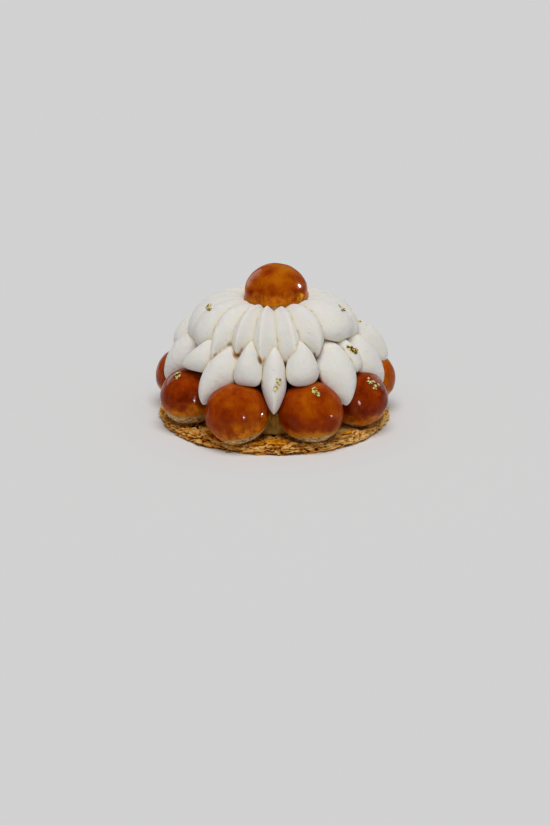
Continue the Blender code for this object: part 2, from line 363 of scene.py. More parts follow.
# %% Caramel, golden edge and crust
MOTTLE_DEPTH = 1.4
glazed, tree, shader = new_material(
    "dipped_chou",
    Specular_IOR_Level=0.06,
    Subsurface_Weight=0.6,
    Subsurface_Radius=(1.0, 0.4, 0.15),
    Subsurface_Scale=0.0035,
)
cap = attribute(tree, "cap")
patches = noise_in(tree, 0.011, detail=3, roughness=0.5, distortion=0.5)
streaks = noise_in(tree, 0.0042, detail=3, stretch=(1, 1, 0.7))
specks = noise_in(tree, 0.0017, detail=2, roughness=0.6)
mottle = mix(tree, 0.2, mix(tree, 0.42, patches, streaks), specks)
unevenness = maths(tree, "MULTIPLY", maths(tree, "SUBTRACT", mottle, 0.5), MOTTLE_DEPTH)
thickness = maths(tree, "ADD", attribute(tree, "thick"), unevenness)
caramel = ramp(
    tree,
    thickness,
    (0.00, (0.50, 0.140, 0.0010)),
    (0.25, (0.42, 0.079, 0.0005)),
    (0.50, (0.300, 0.034, 0.0003)),
    (0.75, (0.170, 0.0130, 0.0003)),
    (1.00, (0.085, 0.006, 0.0002)),
)
# Partly painted light: this golden colour is brighter than thin caramel alone, for light thrown up
# onto the lower side of each chou.
golden = ramp(
    tree,
    mix(tree, 0.4, streaks, specks),
    (0.36, (0.27, 0.050, 0.0008)),
    (0.47, (0.53, 0.125, 0.0016)),
    (0.62, (0.80, 0.245, 0.0060)),
)
crust_spots = noise_in(tree, 0.0026, detail=4, roughness=0.7)
crust = ramp(
    tree,
    crust_spots,
    (0.36, (0.17, 0.070, 0.014)),
    (0.46, (0.44, 0.270, 0.095)),
    (0.64, (0.82, 0.660, 0.410)),
)
print("made", glazed.name)

# %% [markdown]
# The three colours are laid over each other, and noise added to `cap` makes the edge ragged. The
# crust is dry and finely pitted, and the glaze is glassy and only dimpled, so roughness and bump
# change at the same edge. One material for all three leaves no seam between them.

# %% Where each finish lies
THIN_EDGE_COLOUR = (0.56, 0.25, 0.020, 1)
THIN_EDGE_SHARE = 0.65
EDGE_RAGGED = 0.35
DIMPLE_SHARE = 0.35
DRY = (0.62, 0.62, 0.62, 1)
GLASSY = (0.12, 0.12, 0.12, 1)
colour = mix(tree, attribute(tree, "gold"), caramel, golden)
thin_edge = maths(tree, "MULTIPLY", spread(tree, cap, 0.18, 0.02), THIN_EDGE_SHARE)
colour = mix(tree, thin_edge, colour, THIN_EDGE_COLOUR)
broken = maths(tree, "MULTIPLY", maths(tree, "SUBTRACT", crust_spots, 0.5), EDGE_RAGGED)
ragged_cap = maths(tree, "ADD", cap, broken)
colour = mix(tree, spread(tree, ragged_cap, -0.05, 0.03), crust, colour)
glaze = spread(tree, cap, -0.04, 0.02)
smooth = maths(tree, "MULTIPLY", patches, DIMPLE_SHARE)
dimples = bump(tree, mix(tree, glaze, crust_spots, smooth), 0.0004)
roughness = mix(tree, glaze, DRY, GLASSY)
fill(tree, shader, {"Base Color": colour, "Roughness": roughness, "Normal": dimples})
print("nodes in the glaze:", len(tree.nodes))

# %% [markdown]
# Puff pastry bakes to many shades: straw, gold and nearly burnt brown. The meshes carry a number
# from 0 to 1 for the colour, and fine noise varies it, because no two leaves of dough come out
# quite the same brown. That number also holds painted shade, dark in cracks, pits and at the
# foot of the rim, and painted light, pale on crests and on one side.

# %% Pastry
# How far noise varies the bake, and how bake is fitted to the ramp.
LEAVES_VARY = 0.7
LEAST_BAKE = 0.2
BAKE_RANGE = 0.55
pastry, tree, shader = new_material("flaky_pastry", Roughness=0.6, Specular_IOR_Level=0.1)
leaves = noise_in(tree, 0.0016, detail=3, roughness=0.6, stretch=(1, 1, 1.8))
varied = maths(tree, "MULTIPLY", leaves, LEAVES_VARY)
bake_and_shade = maths(tree, "ADD", attribute(tree, "bake_and_shade"), varied)
pastry_colour = ramp(
    tree,
    maths(tree, "MULTIPLY", maths(tree, "ADD", bake_and_shade, LEAST_BAKE), BAKE_RANGE),
    (0.06, (0.90, 0.570, 0.190)),
    (0.19, (0.86, 0.460, 0.120)),
    (0.34, (0.78, 0.335, 0.042)),
    (0.48, (0.54, 0.175, 0.012)),
    (0.61, (0.22, 0.050, 0.003)),
    (0.77, (0.04, 0.008, 0.001)),
)
blisters = bump(tree, noise_in(tree, 0.0010, detail=4, roughness=0.75), 0.0008)
fill(tree, shader, {"Base Color": pastry_colour, "Normal": blisters})
print("made", pastry.name)

# %% [markdown]
# The small finishes: gold leaf is real metal, beaten thin and crumpled, with its bright and dark
# glints painted into its colour; vanilla seeds are nearly black, and caramel that ran off the
# choux is a clear amber that lies glossy on the pastry.

# %% Gold, vanilla and run caramel
gold, tree, shader = new_material("gold_leaf", Metallic=0.15, Roughness=0.28)
folds_and_glints = noise_in(tree, 0.0024, detail=3, roughness=0.65)
# Painted reflections: the near-black and near-white stops stand for the dark and bright glints of
# the crumpled facets.
gold_and_glint_colour = ramp(
    tree,
    folds_and_glints,
    (0.44, (0.08, 0.045, 0.005)),
    (0.49, (0.62, 0.36, 0.025)),
    (0.54, (1.00, 0.80, 0.14)),
    (0.60, (1.00, 1.00, 0.85)),
)
fill(tree, shader, {"Base Color": gold_and_glint_colour, "Normal": bump(tree, folds_and_glints, 0.0004)})

vanilla, tree, shader = new_material("vanilla_seed", Roughness=0.6)
husks = noise_in(tree, 0.002)
seed_colour = ramp(tree, husks, (0.3, (0.10, 0.075, 0.055)), (0.7, (0.24, 0.19, 0.14)))
fill(tree, shader, {"Base Color": seed_colour})

run_caramel, tree, shader = new_material("run_caramel", Roughness=0.12, Specular_IOR_Level=0.1)
depths = noise_in(tree, 0.003)
run_colour = ramp(tree, depths, (0.40, (0.42, 0.11, 0.002)), (0.60, (0.84, 0.36, 0.012)))
ripples = bump(tree, noise_in(tree, 0.002), 0.0005)
fill(tree, shader, {"Base Color": run_colour, "Normal": ripples})
print("made", gold.name, vanilla.name, run_caramel.name)

# %% [markdown]
# ## The petals
# A petal is piped with a notched nozzle. The cook starts at the outer end, where the cream piles
# up round, and draws the bag inwards, so that the petal narrows to a tail and keeps a crest along
# its top. Each kind of petal follows a curved spine, and `hump` says how height and width swell
# along it.

# %% The spine of a petal
HIGH_SPINE = ((0.0110, 0.0812), (0.0470, 0.0860), (0.0575, 0.0600))
LONG_SPINE = ((0.0400, 0.0680), (0.0630, 0.0580), (0.0755, 0.0285))
SHORT_SPINE = ((0.0400, 0.0690), (0.0600, 0.0650), (0.0695, 0.0460))
FLAT_SPINE = ((0.0400, 0.0690), (0.0640, 0.0640), (0.0695, 0.0485))

# The spine (radius, height) of the inner tip, the bend and the outer tip; the half height; and
# how the upper side, the under side and the width swell along the spine.
PETAL_KINDS = {
    "fold": (HIGH_SPINE, 0.0130, (0.5, 0.50), (0.6, 1.10), (0.65, 0.75)),
    "leaf": (HIGH_SPINE, 0.0130, (0.5, 0.50), (0.6, 1.10), (0.65, 0.90)),
    "blade": (HIGH_SPINE, 0.0130, (0.5, 0.50), (0.6, 1.10), (0.65, 1.25)),
    "broad": (HIGH_SPINE, 0.0130, (0.5, 0.45), (0.6, 1.00), (0.60, 0.45)),
    "long": (LONG_SPINE, 0.0125, (0.6, 0.50), (0.6, 1.00), (1.1, 0.80)),
    "short": (SHORT_SPINE, 0.0120, (0.6, 0.45), (0.6, 0.80), (1.1, 0.36)),
    "stub": (SHORT_SPINE, 0.0120, (0.6, 0.42), (0.6, 0.75), (1.1, 0.27)),
    "flat": (FLAT_SPINE, 0.0100, (0.6, 0.30), (0.6, 0.35), (1.0, 0.16)),
}


def bend(spine, s):
    """The point of a three-point curve at s, from 0 to 1, and the curve's direction there."""
    start, middle, end = (Vector(point) for point in spine)
    point = (1 - s) ** 2 * start + 2 * s * (1 - s) * middle + s * s * end
    heading = 2 * (1 - s) * (middle - start) + 2 * s * (end - middle)
    return point, heading.normalized()


def hump(s, rise, fall):
    """A bump that is 0 at both ends and 1 at its top. Small powers give round ends."""
    top = rise / (rise + fall)
    return (s**rise * (1 - s) ** fall) / (top**rise * (1 - top) ** fall)


for kind, row in PETAL_KINDS.items():
    points = [bend(row[0], step / 20)[0] for step in range(21)]
    length = sum((after - before).length for before, after in zip(points, points[1:]))
    print(kind, "petal, length in mm:", round(1000 * length, 1))

# %% [markdown]
# A petal could be lofted from rings, but a ball is simpler: each point of a `create_uvsphere` is
# moved to its place along the spine, so both ends stay closed. The side above the spine stays
# full up to the outer tip, and the side below draws in sooner, as in a claw. Slow waves come
# last, because soft things are never quite even.

# %% The shape of a petal
PETAL_AROUND = 48
PETAL_ALONG = 60
PETAL_WAVES = 0.0004
PETAL_WAVE_SIZE = 0.010
# Keeps off the very ends of the spine, where a hump's slope has no limit.
SPINE_END = 1e-6
SKEW_POWER = 1.5


def ball_bmesh(around, along):
    """A ball of radius 1. Blender may number a ball's faces differently each run, and the vanilla
    seeds pick faces by number, so they are sorted by ring, and then round the ring."""
    bm = bmesh.new()
    bmesh.ops.create_uvsphere(bm, u_segments=around, v_segments=along, radius=1.0)

    def number(face):
        centre = face.calc_center_median()
        ring = int(centre.angle(Vector((0, 0, 1))) / math.pi * along)
        return ring * around + int(math.atan2(centre.y, centre.x) / math.tau % 1 * around)

    bm.faces.sort(key=number)
    return bm


def wave(bm, depth, size, shift):
    """Moves a closed surface in and out by slow noise."""
    bm.normal_update()
    moves = [noise.noise(vert.co / size + shift) * depth for vert in bm.verts]
    normals = [vert.normal.copy() for vert in bm.verts]
    for vert, normal, move in zip(bm.verts, normals, moves):
        vert.co += normal * move


def petal_bmesh(kind, bearing, half_width, reach, lean, drop, crest, skew=0.0):
    """One petal. Reach scales how far it comes out, lean and drop move its outer tip, crest says
    how narrow it is at its top, from 0 for round, and skew moves the crest to the right."""
    (start, middle, end), half_height, upper, under, width = PETAL_KINDS[kind]
    spine = (start, (middle[0] * (1 + reach) / 2, middle[1]), (end[0] * reach, end[1] - drop))
    bm = ball_bmesh(PETAL_AROUND, PETAL_ALONG)
    for vert in bm.verts:
        s = min(max((1 + vert.co.z) / 2, SPINE_END), 1 - SPINE_END)
        around = math.atan2(vert.co.y, vert.co.x)
        above = max(0.0, math.sin(around))
        height = half_height * math.sin(around) * hump(s, *(upper if above > 0 else under))
        point, heading = bend(spine, s)
        point += Vector((-heading.y, heading.x)) * height
        side = math.cos(around) * (1 - crest * above) + skew * above**SKEW_POWER
        across = half_width * side * hump(s, *width)
        vert.co = place(point.x, bearing, point.y, across + lean * s * s)
    wave(bm, PETAL_WAVES, PETAL_WAVE_SIZE, Vector((bearing, half_width * 1000, reach * 10)))
    return bm


print("points round and along a petal:", PETAL_AROUND, PETAL_ALONG)

# %% [markdown]
# Eighteen petals go round the top and eighteen below, each lower one showing between two upper
# ones, and no two alike. The tables give each petal's kind, bearing, half width and reach, how
# far its tip leans sideways and drops, how sharp its crest is and how far that is off the middle.
# They are read from the picture, and keep the same rhythm round the back.

# %% Pipe the petals
HIGH_PETALS = (
    ("fold", 10.5, 0.0138, 1, 0.0058, 0.011, 0.66, 0.12),
    ("leaf", 34, 0.0162, 1, -0.002, -0.002, 0.42),
    ("broad", 60, 0.0215, 1.03, 0, -0.009, 0.1),
    ("broad", 83, 0.0205, 1.02, 0, -0.002, 0.08),
    ("broad", 103, 0.019, 1, 0, 0, 0.08),
    ("leaf", 121, 0.018, 0.99, 0, 0, 0.2),
    ("fold", 139, 0.016, 1.01, 0, 0.002, 0.55, 0.2),
    ("fold", 158, 0.0155, 1, 0.001, -0.002, 0.6, -0.2),
    ("fold", 178, 0.015, 0.98, 0, 0.004, 0.65, 0.2),
    ("fold", 198, 0.0155, 1.01, -0.001, 0, 0.6, -0.2),
    ("leaf", 218, 0.017, 1, 0, 0.002, 0.35),
    ("broad", 238, 0.0185, 0.99, 0, 0, 0.12),
    ("broad", 258, 0.02, 1, 0, 0, 0.08),
    ("broad", 278, 0.0215, 1.01, 0, -0.001, 0.06),
    ("broad", 299, 0.019, 1.01, 0, -0.001, 0.1),
    ("blade", 318, 0.0158, 1.1, 0.003, 0.006, 0.35, -0.1),
    ("fold", 334.5, 0.0136, 0.99, 0, -0.001, 0.72),
    ("fold", 352, 0.0134, 1, 0.001, 0.0065, 0.74, -0.12),
)
LOW_PETALS = (
    ("long", 0.8, 0.009, 1, 0, 0, 0.22),
    ("short", 20.5, 0.0124, 1, -0.003, 0, 0.22),
    ("long", 46.5, 0.0154, 1.02, -0.005, 0, 0.15),
    ("flat", 57, 0.0108, 0.98, 0, 0.002, 0.15),
    ("long", 77, 0.02, 1.05, 0.001, 0, 0.12),
    ("short", 99.5, 0.011, 1.2, 0, 0.008, 0.2),
    ("long", 119.5, 0.013, 1.02, 0, 0, 0.2),
    ("short", 138.5, 0.0122, 1.02, 0, 0, 0.22),
    ("long", 158, 0.013, 1.01, 0, 0, 0.2),
    ("short", 177.5, 0.0122, 1.01, 0, 0, 0.22),
    ("long", 197, 0.013, 1.02, 0.002, 0, 0.2),
    ("short", 216, 0.0122, 1, 0, 0, 0.22),
    ("long", 235.5, 0.013, 1.02, -0.002, 0, 0.2),
    ("short", 256.5, 0.0126, 1.03, 0, 0, 0.22),
    ("long", 279, 0.014, 1.01, -0.003, 0, 0.18),
    ("flat", 313, 0.0122, 0.98, -0.0105, 0.0005, 0.08),
    ("long", 328, 0.0136, 1, -0.0105, 0, 0.2),
    ("stub", 343.5, 0.0104, 1, 0.0015, 0, 0.25),
)

petals = []
for tier, rows in (("high", HIGH_PETALS), ("low", LOW_PETALS)):
    for number, row in enumerate(rows, start=1):
        node_name = f"petal_{tier}_{number}"
        piece = finish_piece(petal_bmesh(*row), node_name + "_piped", cream, [node_name])
        petals.append(piece)
print("petals:", len(petals), "faces:", sum(len(piece.data.polygons) for piece in petals))

# %% [markdown]
# ## The cream heart
# Under the petals the ring of choux is filled with cream, which pushes out in a soft tongue
# between two choux. First the gaps are measured, from the table of the ring's choux: their
# bearing, their distance from the middle and their radius.

# %% The ring and its gaps
RING = (
    (-20.8, 0.0704, 0.0226),
    (23.5, 0.0677, 0.0230),
    (62.5, 0.0693, 0.0217),
    (100.0, 0.0706, 0.0220),
    (138.5, 0.0690, 0.0221),
    (177.0, 0.0688, 0.0218),
    (-144.5, 0.0692, 0.0220),
    (-105.0, 0.0685, 0.0219),
    (-62.7, 0.0674, 0.0216),
)


def gaps_between_choux():
    """The bearing of the middle of each gap in the ring, and the room between its two choux."""
    gaps = []
    for first, second in zip(RING, RING[1:] + RING[:1]):
        turn = (second[0] - first[0]) % 360
        apart = (place(second[1], second[0], 0) - place(first[1], first[0], 0)).length
        gaps.append((first[0] + turn / 2, apart - first[2] - second[2]))
    return gaps


gaps = gaps_between_choux()
print("gaps between choux in mm:", [round(1000 * room, 1) for _, room in gaps])

# %% [markdown]
# Little of the heart shows, so a turned outline is enough: a straight wall with a dome above it.
# `spin` turns the outline once round, and merging the points on the axis closes it.

# %% Turn the heart
HEART_RADIUS = 0.0590
HEART_WALL = 0.0335
HEART_SHOULDER = 0.0400
HEART_DOME = 0.0390
# Below 1, the dome's side is fuller than a ball's.
HEART_FULLNESS = 0.85
HEART_STEPS = 216

heart_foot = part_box("cream_heart")[0].z
heart_outline = [(0.0, heart_foot), (0.6 * HEART_RADIUS, heart_foot)]
heart_outline += [(HEART_RADIUS, heart_foot + HEART_WALL * step / 20) for step in range(21)]
for angle in range(5, 90, 5):
    across = HEART_RADIUS * math.cos(math.radians(angle)) ** HEART_FULLNESS
    heart_outline.append((across, HEART_SHOULDER + HEART_DOME * math.sin(math.radians(angle))))
heart_outline.append((0.0, HEART_SHOULDER + HEART_DOME))


def spin_outline(outline, steps):
    """Turns an outline of (radius, height) points into a closed round shape."""
    bm = bmesh.new()
    verts = [bm.verts.new((radius, 0.0, height)) for radius, height in outline]
    edges = [bm.edges.new(pair) for pair in zip(verts, verts[1:])]
    turn = {"cent": (0, 0, 0), "axis": (0, 0, 1), "angle": math.tau, "use_merge": True}
    bmesh.ops.spin(bm, geom=verts + edges, steps=steps, **turn)
    bmesh.ops.remove_doubles(bm, verts=bm.verts, dist=1e-6)
    face_outwards(bm)
    return bm


bm = spin_outline(heart_outline, HEART_STEPS)
print("faces of the turned heart:", len(bm.faces))

# %% [markdown]
# The wall is pushed outwards at each gap, most in the middle, and less and less up to the petals.
# The attribute `soak` marks the cream that caramel has reached, up to a wavy line.

# %% Push the heart out between the choux
HEART_TONGUE = 0.14
TONGUE_WIDTH = 6.5
TONGUE_FADES = (0.031, 0.047)
SOAKED_UP_TO = 0.0530
SOAK_WANDERS = 0.004
SOAK_WANDER_SIZE = 0.008
HEART_WAVES = 0.0008
HEART_WAVE_SIZE = 0.007

for vert in bm.verts:
    radius = math.hypot(vert.co.x, vert.co.y)
    if radius < 0.7 * HEART_RADIUS:
        continue
    bearing = math.degrees(math.atan2(vert.co.x, -vert.co.y))
    push = 0.0
    for middle, room in gaps:
        off = (bearing - middle + 180) % 360 - 180
        if abs(off) < TONGUE_WIDTH:
            fade = 0.5 + 0.5 * math.cos(math.pi * off / TONGUE_WIDTH)
            push = max(push, HEART_TONGUE * room * fade)
    push *= 1 - blend(*TONGUE_FADES, vert.co.z)
    vert.co.x *= 1 + push / radius
    vert.co.y *= 1 + push / radius
wave(bm, HEART_WAVES, HEART_WAVE_SIZE, Vector((3, 1, 4)))
soak_layer = bm.verts.layers.float.new("soak")
for vert in bm.verts:
    vert.co.z = max(vert.co.z, heart_foot)
    line = SOAKED_UP_TO + SOAK_WANDERS * noise.noise(vert.co / SOAK_WANDER_SIZE)
    vert[soak_layer] = 1 - blend(line - SOAK_WANDERS, line + SOAK_WANDERS, vert.co.z)
heart = finish_piece(bm, "cream_heart_filled", cream, ["cream_heart"])
print("heart faces:", len(heart.data.polygons))

# %% [markdown]
# Where two petals press together the cream looks warmer and deeper, because light reaches it only
# through cream. Each point of a petal measures how near a neighbour is and how steeply the two
# surfaces meet, as two that nearly lie flush make no valley. The result is the attribute
# `crease`.

# %% Find the creases
CREASE_REACH = 0.0026
CREASE_POWER = 1.2
# How much two surfaces must face each other to make a valley: not at all, and fully.
STEEP = (0.02, 0.45)
NEIGHBOURS_WITHIN = 0.040


def tree_of(piece):
    bm = bmesh.new()
    bm.from_mesh(piece.data)
    tree = BVHTree.FromBMesh(bm)
    bm.free()
    return tree


def middle_of(piece):
    return sum((vert.co for vert in piece.data.vertices), Vector()) / len(piece.data.vertices)


creamy = petals + [heart]
trees = {piece.name: tree_of(piece) for piece in creamy}
middles = {piece.name: middle_of(piece) for piece in creamy}
for piece in creamy:
    near = []
    for other in creamy:
        apart = (middles[other.name] - middles[piece.name]).length
        if other is not piece and (heart in (piece, other) or apart < NEIGHBOURS_WITHIN):
            near.append(trees[other.name])
    creases = []
    for vert in piece.data.vertices:
        crease = 0.0
        for tree in near:
            _, out, _, distance = tree.find_nearest(vert.co, CREASE_REACH)
            if distance is not None:
                steep = blend(*STEEP, 1 - out.dot(vert.normal))
                crease = max(crease, steep * (1 - distance / CREASE_REACH) ** CREASE_POWER)
        creases.append(crease)
    mark_points(piece, "crease", creases)
print("creases on", len(creamy), "pieces")

# %% [markdown]
# Here and there caramel has run into a seam, and near some petals' tips the dark gaps get the
# same colours as painted shadow. A line of sight through a pixel of the picture finds each place,
# and the cream within a few millimetres is marked. The material colours it as deep as the crease
# goes, so the stain and the painted shadow follow the seam, whichever way that runs.

# %% Stain the seams, and paint shadow in the gaps
# The pixel of each mark, its radius in metres and its strength from 0 to 1. The first four are
# caramel along a petal's edge, and the rest painted shadow in dark gaps at petals' tips and
# between their lower ends.
STAINS_AND_GAP_SHADOWS = (
    ((230, 345), 0.003, 0.8),
    ((225.5, 349.5), 0.003, 0.8),
    ((220.5, 353), 0.003, 0.8),
    ((215.5, 355.5), 0.0028, 0.6),
    ((236.8, 354.5), 0.0046, 1),
    ((240.5, 350), 0.003, 0.8),
    ((261, 360), 0.0046, 1),
    ((286, 365), 0.0046, 1),
    ((316.5, 355), 0.004, 0.9),
    ((260, 383), 0.003, 0.7),
    ((288, 383), 0.003, 0.7),
)


def first_surface(pixel, pieces):
    """The piece that a line of sight meets first, the point and its normal there."""
    direction = line_of_sight(pixel)
    found = None
    nearest = math.inf
    for piece in pieces:
        hit, point, normal, _ = piece.ray_cast(camera_place, direction)
        distance = (point - camera_place).length
        if hit and distance < nearest:
            nearest = distance
            found = (piece, point.copy(), normal.copy())
    return found


bpy.context.view_layer.update()
stains_and_gap_shadows = [(first_surface(pixel, petals), radius, strength) for pixel, radius, strength in STAINS_AND_GAP_SHADOWS]
stains_and_gap_shadows = [(found[1], radius, strength) for found, radius, strength in stains_and_gap_shadows if found]
for piece in petals:
    marks = []
    for vert in piece.data.vertices:
        mark = 0.0
        for spot, radius, strength in stains_and_gap_shadows:
            apart = (vert.co - spot).length
            if apart < radius:
                mark = max(mark, strength * (1 - blend(0.3 * radius, radius, apart)))
        marks.append(mark)
    mark_points(piece, "stain_and_shadow", marks)
print("stains:", len(stains_and_gap_shadows))

# %% [markdown]
# ## The choux
# A chou puffs up nearly round, so it starts as a ball. Slow noise makes it uneven, its foot is
# pressed flat on the base, and the caramel stands a little proud of the crust, with a wavy edge
# that was level when the chou was dipped upside down. `edge` is the height of that line on a ball
# of radius 1, and `tilt` slants it towards a bearing. Caramel sags as it sets, so it lies thicker
# lower down.

# %% The shape of a chou
CHOU_SQUASH = 0.95
CHOU_HEIGHT = 0.0250
CHOU_AROUND = 96
CHOU_ALONG = 72
GLAZE_THICKNESS = 0.00045
GLAZE_RISES = (-0.03, 0.10)

# Each kind of unevenness: how deep it goes on a ball of radius 1, and how fine it is.
EDGE_WANDERS = (0.10, 2.2)
EDGE_FRAYS = (0.05, 6.5)
LUMPS = (0.035, 1.3)
DENTS = (0.012, 3.6)
CRINKLES = (0.010, 14)

# The caramel: how much thicker it sags below a level, how fine its patches are, where pleats and
# the dark band lie above its edge and how wide they are, and how the golden edge wanders.
SAG = 0.13
SAG_LEVEL = 0.35
PATCHES = 2.1
PLEATS = (0.05, 0.09)
PLEAT_DEPTH = 1.2
PLEATS_ACROSS = 13
PLEATS_UP = 5
BAND = (0.36, 0.14)
BAND_DARK = 6
GOLD_WANDERS = (0.5, 4.5)


def uneven(kind, out, shift):
    depth, fineness = kind
    return depth * noise.noise(out * fineness + shift)


def chou_bmesh(centre, size, squash, dipped, shift, foot=None, ruffle=0.0, patchy=0.16):
    """A dipped chou. Ruffle pleats the caramel's edge, and patchy varies its thickness."""
    edge, tilt, tilt_bearing, thick, gold = dipped
    bm = ball_bmesh(CHOU_AROUND, CHOU_ALONG)
    layers = {name: bm.verts.layers.float.new(name) for name in ("cap", "thick", "gold")}
    slant = math.radians(tilt_bearing)
    dip = Vector((-tilt * math.sin(slant), tilt * math.cos(slant), 1.0)).normalized()
    for vert in bm.verts:
        out = vert.co.normalized()
        wobble = uneven(EDGE_WANDERS, out, shift) + uneven(EDGE_FRAYS, out, shift)
        cap = out.dot(dip) - edge + wobble
        rise = blend(*GLAZE_RISES, cap)
        swell = 1 + uneven(LUMPS, out, -shift) + uneven(DENTS, out, shift)
        crinkle = (1 - rise) * uneven(CRINKLES, out, shift)
        pleats = Vector((out.x * PLEATS_ACROSS, out.y * PLEATS_ACROSS, out.z * PLEATS_UP))
        ridge = ruffle * hill(cap, *PLEATS) * (1 + PLEAT_DEPTH * noise.noise(pleats + shift))
        length = size * (swell + crinkle + ridge) + GLAZE_THICKNESS * rise
        point = Vector((out.x, out.y, out.z * squash)) * length
        pooled = SAG * (SAG_LEVEL - out.z) + uneven((patchy, PATCHES), out, 2 * shift)
        vert[layers["cap"]] = cap
        vert[layers["thick"]] = thick + pooled + BAND_DARK * ruffle * hill(cap, *BAND)
        ragged = cap + gold * uneven(GOLD_WANDERS, out, -2 * shift)
        vert[layers["gold"]] = 1 - blend(0.0, gold, ragged)
        vert.co = centre + point
        if foot is not None:
            vert.co.z = max(vert.co.z, foot)
    return bm


print("caramel on a chou, thickness in mm:", round(1000 * GLAZE_THICKNESS, 2))

# %% [markdown]
# Nine choux stand in the ring. The picture shows seven, and the table says how each was dipped.
# The two at the back are like their neighbours.

# %% Dip the ring of choux
# For each chou of the ring: edge, tilt, the tilt's bearing, how thick its caramel lies from 0 to
# 1, and how far up the golden edge reaches, which is partly painted light on the chou's lower
# side.
DIPS = (
    (-0.66, 0.3, 75, 0.46, 0.8),
    (-0.47, 0.08, 150, 0.44, 0.34),
    (-0.64, 0.12, 250, 0.62, 0.62),
    (-0.45, 0.08, 20, 0.24, 0.4),
    (-0.42, 0.12, 200, 0.45, 0.4),
    (-0.38, 0.1, 90, 0.58, 0.35),
    (-0.46, 0.08, 300, 0.42, 0.45),
    (-0.44, 0.1, 10, 0.45, 0.35),
    (-0.38, 0.12, 90, 0.6, 0.56),
)

choux = []
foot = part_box("chou_1")[0].z
for number, (row, dipped) in enumerate(zip(RING, DIPS), start=1):
    bearing, radius, size = row
    shift = Vector((3.7 * number, 1.9, 0.6 * number))
    bm = chou_bmesh(place(radius, bearing, CHOU_HEIGHT), size, CHOU_SQUASH, dipped, shift, foot)
    choux.append(finish_piece(bm, f"chou_{number}_dipped", glazed, [f"chou_{number}"]))
print("faces of one chou:", len(choux[0].data.polygons))

# %% [markdown]
# The tenth chou crowns the cake. Its caramel is thinner and more patchy, and where the chou was
# pressed into the cream, its edge is ruffled in small pleats with a darker band above them. The
# same function makes it, with its last two settings raised.

# %% Crown the cake
CROWN_SIZE = 0.0226
CROWN_SQUASH = 0.925
CROWN_PLACE = Vector((0.0018, 0.0, 0.0950))
CROWN_DIP = (-0.19, 0.05, 90.0, 0.28, 0.60)
CROWN_NOISE = Vector((8, 8, 1))
bm = chou_bmesh(
    CROWN_PLACE, CROWN_SIZE, CROWN_SQUASH, CROWN_DIP, CROWN_NOISE, ruffle=0.04, patchy=0.45
)
crown = finish_piece(bm, "chou_crown_dipped", glazed, ["chou_crown"])
choux.append(crown)
print("choux:", len(choux), "faces:", sum(len(piece.data.polygons) for piece in choux))

# %% [markdown]
# ## The pastry
# Flaky pastry is hundreds of thin leaves. A solid core carries the cake, and its surface is moved
# in by cracks between leaves, which run along the rim in broken lines, by small pits where
# bubbles burst, and by lumps. `noise.voronoi` gives the distance to scattered points, which makes
# good pits.

# %% Cracks and pits between the leaves
BASE_CENTRE = Vector((0.001, 0.0015, 0.0))
BASE_RADIUS = 0.0842
BASE_TOP = 0.0060
LEAF_SLOPE = 0.42

# How long and how thick each kind of relief is, and how wide the patches are that have it.
CRACKS = (0.0080, 0.0016)
PITS = (0.0034, 0.0013)
LEAVES = (0.0075, 0.0012)
GRIT = (0.0030, 0.0008)
CRACKED_PATCHES = 0.0065
PITTED_PATCHES = 0.009


def along_leaves(point, radius, length, thickness):
    """A point in a space where leaves of dough lie flat, so noise there is long round the rim."""
    level = point.z + LEAF_SLOPE * (BASE_RADIUS - radius)
    turn = BASE_RADIUS / (radius * length)
    return Vector((point.x * turn, point.y * turn, level / thickness))


def pastry_relief(point, radius):
    """How deep cracks and pits go at a point, each from 0 to 1."""
    crack = 1 - blend(0.0, 0.13, abs(noise.noise(along_leaves(point, radius, *CRACKS))))
    crack *= blend(-0.30, 0.10, noise.noise(point / CRACKED_PATCHES + Vector((5, 2, 8))))
    pit = 1 - blend(0.10, 0.40, noise.voronoi(along_leaves(point, radius, *PITS))[0][0])
    pit *= blend(-0.10, 0.25, noise.noise(point / PITTED_PATCHES + Vector((1, 9, 4))))
    return crack, pit


relief = pastry_relief(Vector((0.0, -BASE_RADIUS, BASE_TOP / 2)), BASE_RADIUS)
print("crack and pit at the front of the rim:", [round(value, 2) for value in relief])

# %% [markdown]
# The core is turned from an outline, like the heart. Its points lie close together on the rim and
# on the top near it, so that they can carry the relief.

# %% Turn the core
BASE_STEPS = 960
CORE_SIDE = 14
CORE_TOP_ROWS = 42

core_outline = [(0.0, 0.0), (0.6, 0.0), (0.93, 0.0)]
core_outline += [
    (0.982 + 0.018 * math.sin(math.pi * step / CORE_SIDE), 0.04 + 0.92 * step / CORE_SIDE)
    for step in range(CORE_SIDE + 1)
]
core_outline += [(0.977 - 0.006 * step, 1.0) for step in range(CORE_TOP_ROWS)]
core_outline += [(0.65, 1.0), (0.4, 1.0), (0.0, 1.0)]
bm = spin_outline([(BASE_RADIUS * r, BASE_TOP * z) for r, z in core_outline], BASE_STEPS)
print("points of the core:", len(bm.verts))

# %% [markdown]
# Each point is pushed by the relief, the rim sideways and the top downwards. Deep places and the
# foot of the rim are coloured dark: partly the bake, partly painted shade in cracks and pits, and
# at the foot painted shade only. The side towards bearing 68 is coloured paler, as painted light
# where the light falls most, and lumps and grit paler too, partly as painted light on crests.

# %% Bake the core
CRACK_DEPTH = 0.0016
PIT_DEPTH = 0.0017
LUMP_DEPTH = 0.0020
GRIT_DEPTH = 0.0009
RIM_PROUD = 0.0006
RIM_WANDERS = 0.0015
LUMP_SIZE = 0.0036
WANDER_SIZE = 0.025
